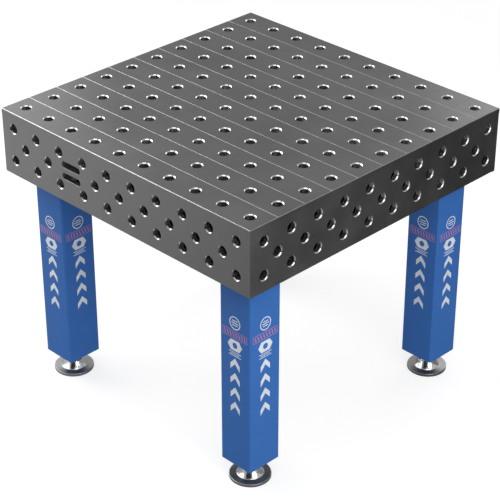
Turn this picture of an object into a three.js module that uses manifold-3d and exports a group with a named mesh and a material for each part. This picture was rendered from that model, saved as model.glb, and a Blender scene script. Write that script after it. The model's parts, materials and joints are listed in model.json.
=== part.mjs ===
// Welding table: a perforated steel box top on four square tube legs with levelling feet.
// Millimetres, +Z up. The origin is on the floor, under the middle of the table.

import * as THREE from "three";
import { mergeVertices } from "three/addons/utils/BufferGeometryUtils.js";
import Module from "manifold-3d";

const wasm = await Module();
wasm.setup();

// Box top
const TABLE_SIDE = 1000;
const BOX_HEIGHT = 200;
const PLATE = 15; // top plate and side panels
const HOLE_PITCH = 100;
const HOLE_RADIUS = 14;
const HOLE_FACETS = 10;
const HOLES_PER_SIDE = 10;
const PANEL_ROW_DEPTHS = [50, 100, 150]; // rows of side holes, below the work surface
const SLOT_LENGTH = 76;
const SLOT_WIDTH = 20;
const SLOT_SPACING = 36;
const SLOT_CENTRE_X = -200; // the slot pair takes the place of one middle-row hole

// Ribs under the top plate, half-lapped where they cross
const RIB_THICKNESS = 10;
const RIB_DEPTH = 65;
const RIB_OFFSET = 200;
const LAP_CLEARANCE = 0.2;

// Legs
const LEG_INSET = 115; // outer face of the box to the leg's axis
const LEG_WIDTH = 115;
const LEG_WALL = 5;
const LEG_LENGTH = 618; // lower edge of the box to the end of the tube
const LEG_CORNER_RADIUS = 7;
const CORNER_FACETS = 2;
const MOUNT_THICKNESS = 12;
const MOUNT_SIDE = 190;
const FLANGE_THICKNESS = 12;
const FLANGE_SIDE = 172;
const BASE_THICKNESS = 15;
const WELD_GAP = 0.2; // base plate to the inside of the tube

// M12 flange bolts that hold each leg
const BOLT_OFFSET = 72; // leg axis to bolt axis, along X and along Y
const BOLT_RADIUS = 6;
const BOLT_CLEARANCE = 0.5;
const BOLT_THREAD_CLEARANCE = 0.1;
const BOLT_HEAD_FLATS = 18;
const BOLT_HEAD_HEIGHT = 12;
const BOLT_COLLAR_RADIUS = 13;
const BOLT_COLLAR_HEIGHT = 3;
const BOLT_FACETS = 8;

// Levelling feet. Heights are above the floor.
const FOOT_HEIGHT = 64; // floor to the end of the leg tube
const PAD_RADIUS = 60;
const PAD_FLANGE_THICKNESS = 10;
const PAD_EDGE_CHAMFER = 1.5;
const PAD_BOSS_RADIUS = 38.5;
const PAD_BOSS_TOP_RADIUS = 30;
const PAD_HEIGHT = 33;
const PAD_CAVITY_RADIUS = 20;
const PAD_CAVITY_HEIGHT = 14;
const PAD_NECK_RADIUS = 13;
const SWIVEL_CENTRE = 44;
const SWIVEL_RADIUS = 25.5; // spherical underside of the swivel washer
const SWIVEL_GAP = 0.5;
const SWIVEL_ARC_STEPS = 3;
const WASHER_RADIUS = 22;
const WASHER_BORE_RADIUS = 9;
const WASHER_TOP = 37;
const SPINDLE_RADIUS = 12; // M24 x 3
const SPINDLE_THREAD_CLEARANCE = 0.1;
const SPINDLE_TOP = 160;
const SPINDLE_HEX_FLATS = 36;
const SPINDLE_HEX_HEIGHT = 12;
const SHOULDER_GAP = 0.1;
const PIN_RADIUS = 8;
const PIN_END = 7;
const GROOVE_RADIUS = 7;
const RING_RADIUS = 16;
const RING_THICKNESS = 1.6;
const RING_TOP = 12;
const RING_GAP = 0.1;
const ROUND_FACETS = 20;
const SHAFT_FACETS = 16;
const HEXAGON = 6;

// Levels worked out from the above
const BOX_BOTTOM = FOOT_HEIGHT + LEG_LENGTH;
const PANEL_HEIGHT = BOX_HEIGHT - PLATE;
const HALF_SIDE = TABLE_SIDE / 2;
const LEG_AXIS = HALF_SIDE - LEG_INSET;
const QUARTER_TURN = Math.PI / 2;

const steel = { color: 0x5c5e60, metalness: 1, roughness: 0.45 };
const darkSteel = { color: 0x3e4042, metalness: 1, roughness: 0.55 };
const bluePaint = { color: 0x2b62ab, metalness: 0, roughness: 0.4 };
const turnedSteel = { color: 0xa9abae, metalness: 1, roughness: 0.25 };
const zincSteel = { color: 0x9fa4a8, metalness: 1, roughness: 0.35 };

const table = new THREE.Group();

function addMesh(parent, name, geometry, finish) {
  const mesh = new THREE.Mesh(geometry, new THREE.MeshStandardMaterial(finish));
  mesh.name = name;
  parent.add(mesh);
  return mesh;
}

// Corners of a regular polygon whose flats touch a circle of the given radius.
function polygonCorners(x, y, radius, sides) {
  const reach = radius / Math.cos(Math.PI / sides);
  return Array.from({ length: sides }, (_, i) => {
    const angle = ((2 * i + 1) * Math.PI) / sides;
    return new THREE.Vector2(x + reach * Math.cos(angle), y + reach * Math.sin(angle));
  });
}

function polygonHole(x, y, radius, sides) {
  return new THREE.Path(polygonCorners(x, y, radius, sides));
}

function rectangle(xMin, yMin, xMax, yMax) {
  const corners = [
    [xMin, yMin],
    [xMax, yMin],
    [xMax, yMax],
    [xMin, yMax],
  ];
  return new THREE.Shape(corners.map(([x, y]) => new THREE.Vector2(x, y)));
}

function square(side) {
  return rectangle(-side / 2, -side / 2, side / 2, side / 2);
}

function roundedSquare(side, radius, Kind = THREE.Shape) {
  const inner = side / 2 - radius;
  const centres = [
    [inner, inner],
    [-inner, inner],
    [-inner, -inner],
    [inner, -inner],
  ];
  const outline = new Kind();
  centres.forEach(([x, y], i) => {
    outline.absarc(x, y, radius, i * QUARTER_TURN, (i + 1) * QUARTER_TURN, false);
  });
  return outline;
}

// A level slot with round ends.
function obroundHole(x, y, length, width) {
  const radius = width / 2;
  const reach = length / 2 - radius;
  const outline = new THREE.Path();
  outline.absarc(x + reach, y, radius, -QUARTER_TURN, QUARTER_TURN, false);
  outline.absarc(x - reach, y, radius, QUARTER_TURN, 3 * QUARTER_TURN, false);
  return outline;
}

function extrude(shape, depth) {
  return new THREE.ExtrudeGeometry(shape, {
    depth,
    bevelEnabled: false,
    curveSegments: CORNER_FACETS,
  });
}

// Turns a closed profile of [radius, height] points round the Z axis.
function turn(profile, facets) {
  const points = profile.map(([radius, height]) => new THREE.Vector2(radius, height));
  return new THREE.LatheGeometry(points, facets).rotateX(QUARTER_TURN);
}

function toSolid(geometry) {
  const bare = geometry.clone();
  bare.deleteAttribute("normal");
  bare.deleteAttribute("uv");
  const merged = mergeVertices(bare);
  const mesh = new wasm.Mesh({
    numProp: 3,
    vertProperties: merged.attributes.position.array,
    triVerts: new Uint32Array(merged.index.array),
  });
  return new wasm.Manifold(mesh);
}

function join(first, second) {
  const mesh = toSolid(first).add(toSolid(second)).getMesh();
  const geometry = new THREE.BufferGeometry();
  geometry.setAttribute("position", new THREE.BufferAttribute(mesh.vertProperties, 3));
  geometry.setIndex(new THREE.BufferAttribute(mesh.triVerts, 1));
  return geometry;
}

// Evenly spaced positions, centred on zero.
function centredRow(count, pitch) {
  return Array.from({ length: count }, (_, i) => (i - (count - 1) / 2) * pitch);
}

function topPlate() {
  const shape = square(TABLE_SIDE);
  const places = centredRow(HOLES_PER_SIDE, HOLE_PITCH);
  for (const x of places) {
    for (const y of places) {
      shape.holes.push(polygonHole(x, y, HOLE_RADIUS, HOLE_FACETS));
    }
  }
  return extrude(shape, PLATE);
}

// Outline of a side panel seen from outside: heights run from its lower edge.
// Every other row is shifted by half a pitch and holds one hole fewer.
function sidePanel(length, hasSlots) {
  const shape = rectangle(-length / 2, 0, length / 2, PANEL_HEIGHT);
  PANEL_ROW_DEPTHS.forEach((depth, row) => {
    const y = BOX_HEIGHT - depth;
    const count = HOLES_PER_SIDE - (row % 2);
    for (const x of centredRow(count, HOLE_PITCH)) {
      if (hasSlots && row === 1 && x === SLOT_CENTRE_X) {
        for (const offset of centredRow(2, SLOT_SPACING)) {
          shape.holes.push(obroundHole(x, y + offset, SLOT_LENGTH, SLOT_WIDTH));
        }
      } else {
        shape.holes.push(polygonHole(x, y, HOLE_RADIUS, HOLE_FACETS));
      }
    }
  });
  return extrude(shape, PLATE).rotateX(QUARTER_TURN).translate(0, PLATE, 0);
}

// A rib stands on edge along X. Its slots open upwards or downwards for the crossing ribs.
function rib(slotsOpenUp) {
  const halfLength = HALF_SIDE - PLATE;
  const halfSlot = RIB_THICKNESS / 2 + LAP_CLEARANCE;
  const slotEnd = RIB_DEPTH / 2 + (slotsOpenUp ? -LAP_CLEARANCE : LAP_CLEARANCE);
  const open = slotsOpenUp ? RIB_DEPTH : 0;
  const closed = RIB_DEPTH - open;
  const slots = [-RIB_OFFSET, RIB_OFFSET].flatMap((x) => [
    [x - halfSlot, open],
    [x - halfSlot, slotEnd],
    [x + halfSlot, slotEnd],
    [x + halfSlot, open],
  ]);
  const outline = [
    [-halfLength, closed],
    [-halfLength, open],
    ...slots,
    [halfLength, open],
    [halfLength, closed],
  ];
  const shape = new THREE.Shape(outline.map(([x, y]) => new THREE.Vector2(x, y)));
  return extrude(shape, RIB_THICKNESS)
    .rotateX(QUARTER_TURN)
    .translate(0, RIB_THICKNESS / 2, 0);
}

function boltPlaces() {
  const sides = [-BOLT_OFFSET, BOLT_OFFSET];
  return sides.flatMap((y) => sides.map((x) => [x, y]));
}

// The bracket fills one inside corner of the box, so it is off-centre to the leg's axis.
function legMount(signX, signY) {
  const near = HALF_SIDE - PLATE - LEG_AXIS;
  const far = near - MOUNT_SIDE;
  const xs = [signX * near, signX * far].sort((a, b) => a - b);
  const ys = [signY * near, signY * far].sort((a, b) => a - b);
  const shape = rectangle(xs[0], ys[0], xs[1], ys[1]);
  for (const [x, y] of boltPlaces()) {
    const radius = BOLT_RADIUS + BOLT_THREAD_CLEARANCE;
    shape.holes.push(polygonHole(x, y, radius, BOLT_FACETS));
  }
  return extrude(shape, MOUNT_THICKNESS);
}

function legFlange() {
  const shape = square(FLANGE_SIDE);
  for (const [x, y] of boltPlaces()) {
    shape.holes.push(polygonHole(x, y, BOLT_RADIUS + BOLT_CLEARANCE, BOLT_FACETS));
  }
  return extrude(shape, FLANGE_THICKNESS);
}

function legTube() {
  const shape = roundedSquare(LEG_WIDTH, LEG_CORNER_RADIUS);
  const boreSide = LEG_WIDTH - 2 * LEG_WALL;
  const boreRadius = LEG_CORNER_RADIUS - LEG_WALL;
  shape.holes.push(roundedSquare(boreSide, boreRadius, THREE.Path));
  return extrude(shape, LEG_LENGTH);
}

function legBase() {
  const side = LEG_WIDTH - 2 * LEG_WALL - 2 * WELD_GAP;
  const shape = roundedSquare(side, LEG_CORNER_RADIUS - LEG_WALL);
  const radius = SPINDLE_RADIUS + SPINDLE_THREAD_CLEARANCE;
  shape.holes.push(polygonHole(0, 0, radius, SHAFT_FACETS));
  return extrude(shape, BASE_THICKNESS);
}

function hexagonalPrism(flats, height) {
  return extrude(new THREE.Shape(polygonCorners(0, 0, flats / 2, HEXAGON)), height);
}

// The bolt points up. Its seating face is at height zero.
function flangeBolt() {
  const length = FLANGE_THICKNESS + MOUNT_THICKNESS;
  const shank = turn(
    [
      [0, -BOLT_COLLAR_HEIGHT],
      [BOLT_COLLAR_RADIUS, -BOLT_COLLAR_HEIGHT],
      [BOLT_COLLAR_RADIUS, 0],
      [BOLT_RADIUS, 0],
      [BOLT_RADIUS, length],
      [0, length],
    ],
    BOLT_FACETS,
  );
  const head = hexagonalPrism(BOLT_HEAD_FLATS, BOLT_HEAD_HEIGHT - BOLT_COLLAR_HEIGHT / 2);
  return join(shank, head.translate(0, 0, -BOLT_HEAD_HEIGHT));
}

// Height of the pad's 45 degree seat at a radius. The cone clears the washer by the gap.
function seatHeight(radius) {
  return radius + SWIVEL_CENTRE - Math.SQRT2 * (SWIVEL_RADIUS + SWIVEL_GAP);
}

function footPad() {
  const mouthRadius = PAD_HEIGHT - seatHeight(0);
  return turn(
    [
      [PAD_CAVITY_RADIUS, 0],
      [PAD_RADIUS, 0],
      [PAD_RADIUS, PAD_FLANGE_THICKNESS - PAD_EDGE_CHAMFER],
      [PAD_RADIUS - PAD_EDGE_CHAMFER, PAD_FLANGE_THICKNESS],
      [PAD_BOSS_RADIUS, PAD_FLANGE_THICKNESS],
      [PAD_BOSS_TOP_RADIUS, PAD_HEIGHT],
      [mouthRadius, PAD_HEIGHT],
      [PAD_NECK_RADIUS, seatHeight(PAD_NECK_RADIUS)],
      [PAD_NECK_RADIUS, PAD_CAVITY_HEIGHT],
      [PAD_CAVITY_RADIUS, PAD_CAVITY_HEIGHT],
      [PAD_CAVITY_RADIUS, 0],
    ],
    ROUND_FACETS,
  );
}

function swivelWasher() {
  const first = Math.asin(WASHER_BORE_RADIUS / SWIVEL_RADIUS);
  const last = Math.asin(WASHER_RADIUS / SWIVEL_RADIUS);
  const underside = Array.from({ length: SWIVEL_ARC_STEPS + 1 }, (_, i) => {
    const angle = first + ((last - first) * i) / SWIVEL_ARC_STEPS;
    const height = SWIVEL_CENTRE - SWIVEL_RADIUS * Math.cos(angle);
    return [SWIVEL_RADIUS * Math.sin(angle), height];
  });
  const top = [
    [WASHER_RADIUS, WASHER_TOP],
    [WASHER_BORE_RADIUS, WASHER_TOP],
  ];
  return turn([...underside, ...top, underside[0]], ROUND_FACETS);
}

function spindle() {
  const shoulder = WASHER_TOP + SHOULDER_GAP;
  const shaft = turn(
    [
      [0, PIN_END],
      [PIN_RADIUS, PIN_END],
      [PIN_RADIUS, RING_TOP - RING_THICKNESS - RING_GAP],
      [GROOVE_RADIUS, RING_TOP - RING_THICKNESS - RING_GAP],
      [GROOVE_RADIUS, RING_TOP + RING_GAP],
      [PIN_RADIUS, RING_TOP + RING_GAP],
      [PIN_RADIUS, shoulder + SPINDLE_HEX_HEIGHT / 2],
      [SPINDLE_RADIUS, shoulder + SPINDLE_HEX_HEIGHT / 2],
      [SPINDLE_RADIUS, SPINDLE_TOP],
      [0, SPINDLE_TOP],
    ],
    SHAFT_FACETS,
  );
  const hex = hexagonalPrism(SPINDLE_HEX_FLATS, SPINDLE_HEX_HEIGHT);
  return join(shaft, hex.translate(0, 0, shoulder));
}

function retainingRing() {
  const bore = GROOVE_RADIUS + RING_GAP;
  return turn(
    [
      [bore, RING_TOP - RING_THICKNESS],
      [RING_RADIUS, RING_TOP - RING_THICKNESS],
      [RING_RADIUS, RING_TOP],
      [bore, RING_TOP],
      [bore, RING_TOP - RING_THICKNESS],
    ],
    SHAFT_FACETS,
  );
}

function addBox() {
  const box = new THREE.Group();
  box.position.z = BOX_BOTTOM;
  addMesh(box, "top_plate", topPlate(), steel).position.z = PANEL_HEIGHT;

  const fullLength = TABLE_SIDE;
  const innerLength = TABLE_SIDE - 2 * PLATE;
  const panels = [
    ["side_panel_front", fullLength, true],
    ["side_panel_right", innerLength, false],
    ["side_panel_back", fullLength, false],
    ["side_panel_left", innerLength, false],
  ];
  panels.forEach(([name, length, hasSlots], i) => {
    const side = new THREE.Group();
    side.rotation.z = i * QUARTER_TURN;
    const panel = addMesh(side, name, sidePanel(length, hasSlots), steel);
    panel.position.y = -HALF_SIDE;
    box.add(side);
  });

  const ribs = [
    ["rib_long_front", -RIB_OFFSET, false],
    ["rib_long_back", RIB_OFFSET, false],
    ["rib_cross_right", -RIB_OFFSET, true],
    ["rib_cross_left", RIB_OFFSET, true],
  ];
  for (const [name, offset, isCross] of ribs) {
    const direction = new THREE.Group();
    direction.rotation.z = isCross ? QUARTER_TURN : 0;
    direction.position.z = PANEL_HEIGHT - RIB_DEPTH;
    addMesh(direction, name, rib(isCross), darkSteel).position.y = offset;
    box.add(direction);
  }
  table.add(box);
}

function addLeg(label, signX, signY) {
  const leg = new THREE.Group();
  leg.position.set(signX * LEG_AXIS, signY * LEG_AXIS, 0);

  const flangeBottom = BOX_BOTTOM;
  const mountBottom = flangeBottom + FLANGE_THICKNESS;
  const mount = addMesh(leg, `leg_mount_${label}`, legMount(signX, signY), darkSteel);
  mount.position.z = mountBottom;
  addMesh(leg, `leg_flange_${label}`, legFlange(), bluePaint).position.z = flangeBottom;
  addMesh(leg, `leg_tube_${label}`, legTube(), bluePaint).position.z = FOOT_HEIGHT;
  addMesh(leg, `leg_base_${label}`, legBase(), bluePaint).position.z = FOOT_HEIGHT;
  boltPlaces().forEach(([x, y], i) => {
    const bolt = addMesh(leg, `flange_bolt_${label}_${i + 1}`, flangeBolt(), zincSteel);
    bolt.position.set(x, y, flangeBottom);
  });

  addMesh(leg, `foot_spindle_${label}`, spindle(), zincSteel);
  addMesh(leg, `foot_washer_${label}`, swivelWasher(), turnedSteel);
  addMesh(leg, `foot_pad_${label}`, footPad(), turnedSteel);
  addMesh(leg, `foot_ring_${label}`, retainingRing(), zincSteel);
  table.add(leg);
}

addBox();
addLeg("front_left", -1, -1);
addLeg("front_right", 1, -1);
addLeg("back_right", 1, 1);
addLeg("back_left", -1, 1);

export default table;
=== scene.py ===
# Looks for a welding table: perforated steel box top, blue legs, levelling feet.
# Every length is in metres, in the frame of the CAD model: the floor is z = 0 and the table stands
# over the origin. Pieces take their places from the CAD nodes' boxes. The constants hold the sizes
# that those boxes don't show.

import json
import math

import bmesh
import bpy
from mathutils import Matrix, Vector
from mathutils.geometry import tessellate_polygon

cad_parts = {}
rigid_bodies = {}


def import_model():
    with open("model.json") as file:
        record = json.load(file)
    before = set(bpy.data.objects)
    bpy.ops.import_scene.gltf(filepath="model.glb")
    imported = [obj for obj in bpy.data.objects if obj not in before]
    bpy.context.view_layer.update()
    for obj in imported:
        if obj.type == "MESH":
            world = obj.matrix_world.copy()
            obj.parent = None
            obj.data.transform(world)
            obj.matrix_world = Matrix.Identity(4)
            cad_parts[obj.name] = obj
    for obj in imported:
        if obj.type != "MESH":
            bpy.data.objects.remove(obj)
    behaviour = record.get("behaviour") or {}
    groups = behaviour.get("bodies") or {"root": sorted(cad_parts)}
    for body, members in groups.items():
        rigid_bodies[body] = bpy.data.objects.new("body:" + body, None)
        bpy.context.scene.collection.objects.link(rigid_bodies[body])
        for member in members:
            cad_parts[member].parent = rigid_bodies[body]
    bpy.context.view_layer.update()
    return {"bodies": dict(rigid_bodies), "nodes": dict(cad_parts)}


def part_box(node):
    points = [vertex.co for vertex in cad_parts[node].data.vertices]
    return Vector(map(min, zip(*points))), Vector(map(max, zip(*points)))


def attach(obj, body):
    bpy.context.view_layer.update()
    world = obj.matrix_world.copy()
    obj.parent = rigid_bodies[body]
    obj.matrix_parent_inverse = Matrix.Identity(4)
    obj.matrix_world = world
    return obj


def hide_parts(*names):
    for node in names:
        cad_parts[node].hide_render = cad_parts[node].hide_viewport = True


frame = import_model()

MM = 0.001
LEGS = ("front_left", "front_right", "back_right", "back_left")

# Box top
HOLE_PITCH = 100 * MM
HOLE_RADIUS = 14 * MM
HOLE_CHAMFER = 2.6 * MM
HOLE_BACK_CHAMFER = 1 * MM
HOLE_SEGMENTS = 48
HOLES_PER_SIDE = 10
PANEL_ROW_DEPTHS = (50 * MM, 100 * MM, 150 * MM)
EDGE_CHAMFER = 1.4 * MM
LONG_LINE_HALF_WIDTH = 1.1 * MM
CROSS_LINE_HALF_WIDTH = 0.35 * MM
LINE_DEPTH = 0.5 * MM
SEAM_WIDTH = 3 * MM
SEAM_FADE = 1.5 * MM
RIB_EDGE = 0.8 * MM
SLOT_X = -200 * MM
SLOT_LENGTH = 76 * MM
SLOT_WIDTH = 20 * MM
SLOT_SPACING = 36 * MM
SLOT_CHAMFER = 0.8 * MM
SLOT_END_SEGMENTS = 16

# Material slots of the top plate and the side panels. Bores, back chamfers, slots and cross lines share
# one slot of cut steel painted dark as shade.
FACE, CHAMFER, BORE, LONG_LINE, OUTER_EDGE = range(5)
HOLE_SLOTS = (CHAMFER, BORE, BORE)
SLOT_SLOTS = (BORE, BORE, BORE)

# Legs and feet
PAD_FLANGE = 10 * MM
TUBE_RADIUS = 7 * MM
TUBE_WALL = 5 * MM
TUBE_CORNER_SEGMENTS = 8
TUBE_END_ROUND = 0.6 * MM
PLATE_EDGE = 0.8 * MM
BOLT_OFFSET = 72 * MM
BOLT_FLATS = 18 * MM
BOLT_HEX_BOTTOM = -12 * MM
BOLT_HEX_TOP = -2.4 * MM
BOLT_HOLE_RADIUS = 6.5 * MM
BOLT_TAP_RADIUS = 6.1 * MM
BOLT_TURN = 0.4  # radians from each bolt's hexagon to the next one's
SPINDLE_HOLE_RADIUS = 12.1 * MM
SMALL_HOLE_SEGMENTS = 32


# ---------------------------------------------------------------- mesh helpers

MERGE_DISTANCE = 1e-6


def circle(x, y, radius, segments):
    angles = [2 * math.pi * i / segments for i in range(segments)]
    return [(x + radius * math.cos(a), y + radius * math.sin(a)) for a in angles]


def rectangle(low, high):
    return [(low[0], low[1]), (high[0], low[1]), (high[0], high[1]), (low[0], high[1])]


def rounded_square(side, radius, segments):
    reach = side / 2 - radius
    points = []
    for quarter, (sx, sy) in enumerate(((1, 1), (-1, 1), (-1, -1), (1, -1))):
        for i in range(segments + 1):
            angle = (quarter + i / segments) * math.pi / 2
            x = sx * reach + radius * math.cos(angle)
            y = sy * reach + radius * math.sin(angle)
            points.append((x, y))
    return points


def obround(x, y, length, width):
    radius = width / 2
    reach = length / 2 - radius
    points = []
    for side in (1, -1):
        for i in range(SLOT_END_SEGMENTS + 1):
            angle = (i / SLOT_END_SEGMENTS - 0.5) * math.pi
            across = reach + radius * math.cos(angle)
            points.append((x + side * across, y + side * radius * math.sin(angle)))
    return points


class Shape:
    """Vertices and faces of one closed body, gathered before the mesh is made."""

    def __init__(self):
        self.vertices = []
        self.faces = []
        self.slots = []
        self.smooth = []

    def add_points(self, points):
        first = len(self.vertices)
        self.vertices += [tuple(p) for p in points]
        return list(range(first, first + len(points)))

    def add_face(self, indices, slot=0, smooth=False):
        self.faces.append(tuple(indices))
        self.slots.append(slot)
        self.smooth.append(smooth)

    def strip(self, ring, other, slot=0, smooth=True):
        """Joins two closed rings that have equally many points."""
        count = len(ring)
        for i in range(count):
            j = (i + 1) % count
            self.add_face((ring[i], ring[j], other[j], other[i]), slot, smooth)

    def cap(self, rings, slot=0):
        """Fills a flat outline, the first ring, round the holes that the other rings are."""
        loops = [[Vector(self.vertices[i]) for i in ring] for ring in rings]
        flat = [i for ring in rings for i in ring]
        for triangle in tessellate_polygon(loops):
            self.add_face([flat[i] for i in triangle], slot)

    def loft(self, rings, slots, smooth=True):
        """Joins rings one after the other; slots has one material slot for each stretch."""
        for ring, other, slot in zip(rings, rings[1:], slots):
            self.strip(ring, other, slot, smooth)


def make_mesh(name, shape, materials, smooth_angle=30):
    """The shape as a mesh. Edges sharper than smooth_angle, in degrees, stay sharp."""
    mesh = bpy.data.meshes.new(name)
    mesh.from_pydata(shape.vertices, [], shape.faces)
    for m in materials:
        mesh.materials.append(m)
    mesh.polygons.foreach_set("material_index", shape.slots)
    mesh.polygons.foreach_set("use_smooth", shape.smooth)
    work = bmesh.new()
    work.from_mesh(mesh)
    bmesh.ops.remove_doubles(work, verts=work.verts, dist=MERGE_DISTANCE)
    bmesh.ops.recalc_face_normals(work, faces=work.faces)
    work.to_mesh(mesh)
    work.free()
    # Marking the sharp edges makes every face smooth, so the flat faces are set again after it.
    smooth = [face.use_smooth for face in mesh.polygons]
    mesh.set_sharp_from_angle(angle=math.radians(smooth_angle))
    mesh.polygons.foreach_set("use_smooth", smooth)
    return mesh


def place(name, mesh, body, node=None, slot=None, location=(0, 0, 0), turn=0.0):
    """Adds a piece that rides on a CAD body and may stand for a CAD node. The slot is not used."""
    piece = bpy.data.objects.new(name, mesh)
    bpy.context.scene.collection.objects.link(piece)
    piece.location = location
    piece.rotation_euler = (0, 0, turn)
    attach(piece, body)
    if node:
        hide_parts(node)


# ------------------------------------------------------------------- materials


EDGE_RANGE = (0.02, 0.25)  # bend of the normal at which wear starts, and at which it is full


class Look:
    """A node material being built: one Principled shader and the nodes that drive it."""

    def __init__(self, name):
        self.material = bpy.data.materials.new(name)
        self.material.use_nodes = True
        self.tree = self.material.node_tree
        self.shader = self.tree.nodes["Principled BSDF"]

    def feed(self, socket, value):
        """Links value to the socket when it is one itself, or else sets it."""
        if isinstance(value, bpy.types.NodeSocket):
            self.tree.links.new(value, socket)
        else:
            socket.default_value = value

    def node(self, kind, inputs=(), **settings):
        node = self.tree.nodes.new("ShaderNode" + kind)
        for key, value in settings.items():
            setattr(node, key, value)
        for key, value in dict(inputs).items():
            self.feed(node.inputs[key], value)
        return node

    def set(self, **inputs):
        for key, value in inputs.items():
            self.feed(self.shader.inputs[key.replace("_", " ")], value)
        return self.material

    def coordinates(self, stretch=(1, 1, 1)):
        """Object coordinates in metres, squeezed by stretch along each axis."""
        source = self.node("TexCoord").outputs["Object"]
        return self.node("Mapping", {"Vector": source, "Scale": stretch}).outputs["Vector"]

    def noise(self, scale, detail=4.0, stretch=(1, 1, 1), roughness=0.55):
        inputs = {"Scale": scale, "Detail": detail, "Roughness": roughness}
        inputs["Vector"] = self.coordinates(stretch)
        return self.node("TexNoise", inputs).outputs["Fac"]

    def ranged(self, value, low, high, to_low=0.0, to_high=1.0):
        inputs = {"Value": value, "From Min": low, "From Max": high}
        inputs.update({"To Min": to_low, "To Max": to_high})
        return self.node("MapRange", inputs).outputs["Result"]

    def math(self, operation, first, second=0.0):
        node = self.node("Math", operation=operation)
        self.feed(node.inputs[0], first)
        self.feed(node.inputs[1], second)
        return node.outputs[0]

    def mix(self, factor, first, second):
        """Mixes two colours. Sockets 6 and 7 and output 2 of the node are its colour ones."""
        node = self.node("Mix", data_type="RGBA")
        self.feed(node.inputs[0], factor)
        self.feed(node.inputs[6], first)
        self.feed(node.inputs[7], second)
        return node.outputs[2]

    def bump(self, height, distance, strength):
        inputs = {"Height": height, "Distance": distance, "Strength": strength}
        return self.node("Bump", inputs).outputs["Normal"]

    def edges(self, radius):
        """1 close to sharp edges, 0 on open faces."""
        bevel = self.node("Bevel", {"Radius": radius}, samples=6).outputs["Normal"]
        true = self.node("NewGeometry").outputs["Normal"]
        dot = self.node("VectorMath", operation="DOT_PRODUCT")
        self.feed(dot.inputs[0], bevel)
        self.feed(dot.inputs[1], true)
        return self.ranged(self.math("SUBTRACT", 1.0, dot.outputs["Value"]), *EDGE_RANGE)


def away_from_seams(look):
    """0 where the box's plates meet flush, 1 elsewhere: no wear on those hidden edges."""
    axes = look.node("SeparateXYZ", {"Vector": look.coordinates()})
    plate_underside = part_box("top_plate")[0].z
    panel_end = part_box("side_panel_right")[1].y
    below_top = look.math("ABSOLUTE", look.math("SUBTRACT", axes.outputs["Z"], plate_underside))
    side = look.math("ABSOLUTE", axes.outputs["Y"])
    beside_end = look.math("ABSOLUTE", look.math("SUBTRACT", side, panel_end))
    nearest = look.math("MINIMUM", below_top, beside_end)
    return look.ranged(nearest, SEAM_WIDTH, SEAM_WIDTH + SEAM_FADE)


def grey(value, warmth=0.0):
    """A grey colour, warmer with more red and less blue."""
    return (value * (1 + warmth), value, value * (1 - warmth), 1.0)


def ground_steel(name, level, grain):
    """Ground and nitrided plate: fine grinding lines along one axis, clouds, scratches, worn edges."""
    look = Look(name)
    across = tuple(1 if axis == grain else 60 for axis in range(3))
    lines = look.noise(14, 3, across, 0.7)
    clouds = look.noise(5, 5)
    spots = look.ranged(look.noise(70, 6, roughness=0.7), 0.62, 0.75)
    colour = look.mix(look.ranged(clouds, 0.35, 0.65), grey(level * 0.90), grey(level * 1.08, 0.006))
    colour = look.mix(look.ranged(lines, 0.3, 0.7, 0, 0.35), colour, grey(level * 1.25))
    colour = look.mix(look.math("MULTIPLY", spots, 0.35), colour, grey(level * 0.6, 0.02))
    worn = look.math("MULTIPLY", look.edges(1.2 * MM), look.ranged(look.noise(45, 4), 0.35, 0.6))
    worn = look.math("MULTIPLY", worn, away_from_seams(look))
    colour = look.mix(worn, colour, grey(0.4))
    rough = look.ranged(clouds, 0.3, 0.7, 0.36, 0.47)
    rough = look.math("ADD", rough, look.ranged(lines, 0.3, 0.7, -0.05, 0.05))
    normal = look.bump(lines, 0.03 * MM, 0.6)
    return look.set(Base_Color=colour, Metallic=1.0, Roughness=rough, Normal=normal)


def machined_steel(name, level, rough):
    """Freshly cut steel: hole chamfers, bores and scribed lines. A low level is painted shade, as in
    the bores.
    """
    look = Look(name)
    chatter = look.noise(260, 3, (1, 1, 3))
    stain = look.ranged(look.noise(40, 4), 0.4, 0.7)
    colour = look.mix(stain, grey(level), grey(level * 0.72, 0.015))
    rough = look.ranged(chatter, 0.3, 0.7, rough * 0.75, rough * 1.3)
    return look.set(
        Base_Color=colour, Metallic=1.0, Roughness=rough, Normal=look.bump(chatter, 0.02 * MM, 0.5)
    )


def rolled_steel(name, level):
    """Hot-rolled plate under the table: mill scale, rust freckles and worn edges."""
    look = Look(name)
    scale = look.noise(22, 6, roughness=0.65)
    freckles = look.ranged(look.noise(90, 5, roughness=0.7), 0.63, 0.72)
    colour = look.mix(look.ranged(scale, 0.35, 0.65), grey(level * 0.7, -0.02), grey(level * 1.15))
    colour = look.mix(look.math("MULTIPLY", freckles, 0.5), colour, (0.16, 0.085, 0.05, 1))
    colour = look.mix(look.edges(2 * MM), colour, grey(0.45))
    rough = look.ranged(scale, 0.3, 0.7, 0.42, 0.62)
    return look.set(
        Base_Color=colour, Metallic=0.9, Roughness=rough, Normal=look.bump(scale, 0.12 * MM, 0.6)
    )


def powder_coat(name, colour, light):
    """Satin powder coat: orange peel, faint dust and paler, slightly worn edges."""
    look = Look(name)
    peel = look.noise(520, 2)
    dust = look.ranged(look.noise(9, 5), 0.35, 0.7)
    scuffs = look.ranged(look.noise(60, 6, (1, 1, 0.25), 0.75), 0.66, 0.76)
    base = look.mix(dust, colour, tuple(c * 1.08 for c in colour[:3]) + (1,))
    base = look.mix(look.math("MULTIPLY", scuffs, 0.2), base, light)
    worn = look.math("MULTIPLY", look.edges(2 * MM), look.ranged(look.noise(70, 5), 0.45, 0.62))
    base = look.mix(look.math("MULTIPLY", worn, 0.6), base, light)
    rough = look.math("ADD", look.ranged(dust, 0, 1, 0.42, 0.5), look.math("MULTIPLY", scuffs, 0.15))
    normal = look.bump(peel, 0.05 * MM, 0.45)
    return look.set(Base_Color=base, Roughness=rough, Normal=normal, Specular_IOR_Level=0.12)


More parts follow.
